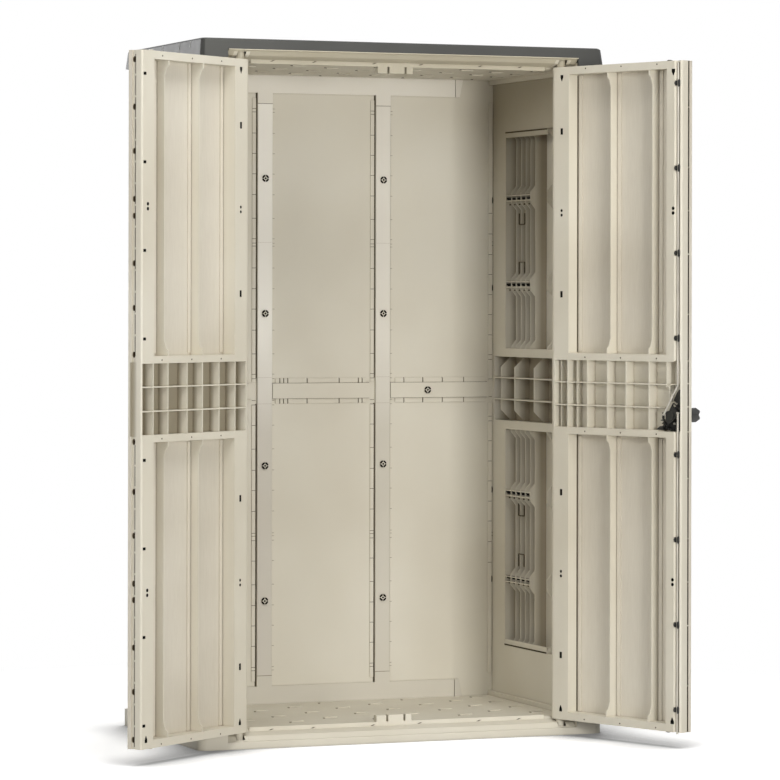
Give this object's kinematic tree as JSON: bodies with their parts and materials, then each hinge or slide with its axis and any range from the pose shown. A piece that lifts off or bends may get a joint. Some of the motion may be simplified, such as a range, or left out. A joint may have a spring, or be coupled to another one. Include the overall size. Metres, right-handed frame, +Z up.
{
  "type": "garden storage cabinet",
  "caption": "Tall resin garden cabinet with two ribbed doors standing open, gridded shelf band, dark roof cap and rod latch.",
  "frame": {"origin": "centre of the base panel's underside, on the ground", "axes": "+Z up, +X to the right seen from the front, +Y from the doors to the back wall"},
  "size_m": [1.4958, 1.0204, 1.8],
  "materials": {
    "resin_beige": "fine moulded grain",
    "resin_dark_grey": "fine moulded grain",
    "black_plastic": "smooth, satin",
    "rod_steel": "drawn, dull"
  },
  "bodies": {
    "cabinet": {"back_beam_bottom": "resin_beige", "back_beam_top": "resin_beige", "back_mid_rail": "resin_beige", "back_panel_centre_lower": "resin_beige", "back_panel_centre_upper": "resin_beige", "back_panel_left_lower": "resin_beige", "back_panel_left_upper": "resin_beige", "back_panel_right_lower": "resin_beige", "back_panel_right_upper": "resin_beige", "back_post_left": "resin_beige", "back_post_right": "resin_beige", "back_screws": "resin_beige", "ceiling_panel": "resin_beige", "floor_panel": "resin_beige", "left_front_post": "resin_beige", "left_wall_grid": "resin_beige", "left_wall_panel_lower": "resin_beige", "left_wall_panel_upper": "resin_beige", "left_wall_skin_lower": "resin_beige", "left_wall_skin_upper": "resin_beige", "right_front_post": "resin_beige", "right_wall_grid": "resin_beige", "right_wall_panel_lower": "resin_beige", "right_wall_panel_upper": "resin_beige", "right_wall_skin_lower": "resin_beige", "right_wall_skin_upper": "resin_beige", "roof_cap": "resin_dark_grey"},
    "left_door": {"left_door_frame_lower": "resin_beige", "left_door_frame_upper": "resin_beige", "left_door_grid": "resin_beige", "left_door_nibs": "resin_beige", "left_door_pivot_pins": "resin_beige", "left_door_skin_lower": "resin_beige", "left_door_skin_upper": "resin_beige"},
    "right_door": {"right_door_frame_lower": "resin_beige", "right_door_frame_upper": "resin_beige", "right_door_grid": "resin_beige", "right_door_nibs": "black_plastic", "right_door_pivot_pins": "resin_beige", "right_door_skin_lower": "resin_beige", "right_door_skin_upper": "resin_beige", "latch_housing": "black_plastic", "rod_clips": "black_plastic"},
    "latch_handle": {"latch_handle": "black_plastic", "latch_spindle": "rod_steel", "latch_cam": "black_plastic"},
    "upper_rod": {"latch_rod_upper": "rod_steel"},
    "lower_rod": {"latch_rod_lower": "rod_steel"}
  },
  "joints": [
    {"name": "left_door_hinge", "type": "hinge", "parent": "cabinet", "child": "left_door", "pos_m": [-0.4466, -0.284, 0.9], "axis": [0, 0, 1], "range_deg": [-5.8, 144.2]},
    {"name": "right_door_hinge", "type": "hinge", "parent": "cabinet", "child": "right_door", "pos_m": [0.4466, -0.284, 0.9], "axis": [0, 0, 1], "range_deg": [-111.3, 38.7]},
    {"name": "latch_turn", "type": "hinge", "parent": "right_door", "child": "latch_handle", "pos_m": [0.59372, -0.66134, 0.8455], "axis": [0.9317, 0.3633, 0], "range_deg": [0, 90]},
    {"name": "upper_rod_slide", "type": "slide", "parent": "right_door", "child": "upper_rod", "axis": [0, 0, 1], "range_m": [-0.001, 0.01415]},
    {"name": "lower_rod_slide", "type": "slide", "parent": "right_door", "child": "lower_rod", "axis": [0, 0, -1], "range_m": [-0.001, 0.01415]}
  ],
  "couplings": [
    {"joint": "upper_rod_slide", "follows": "latch_turn", "m_per_rad": 0.0089},
    {"joint": "lower_rod_slide", "follows": "latch_turn", "m_per_rad": 0.0089}
  ]
}
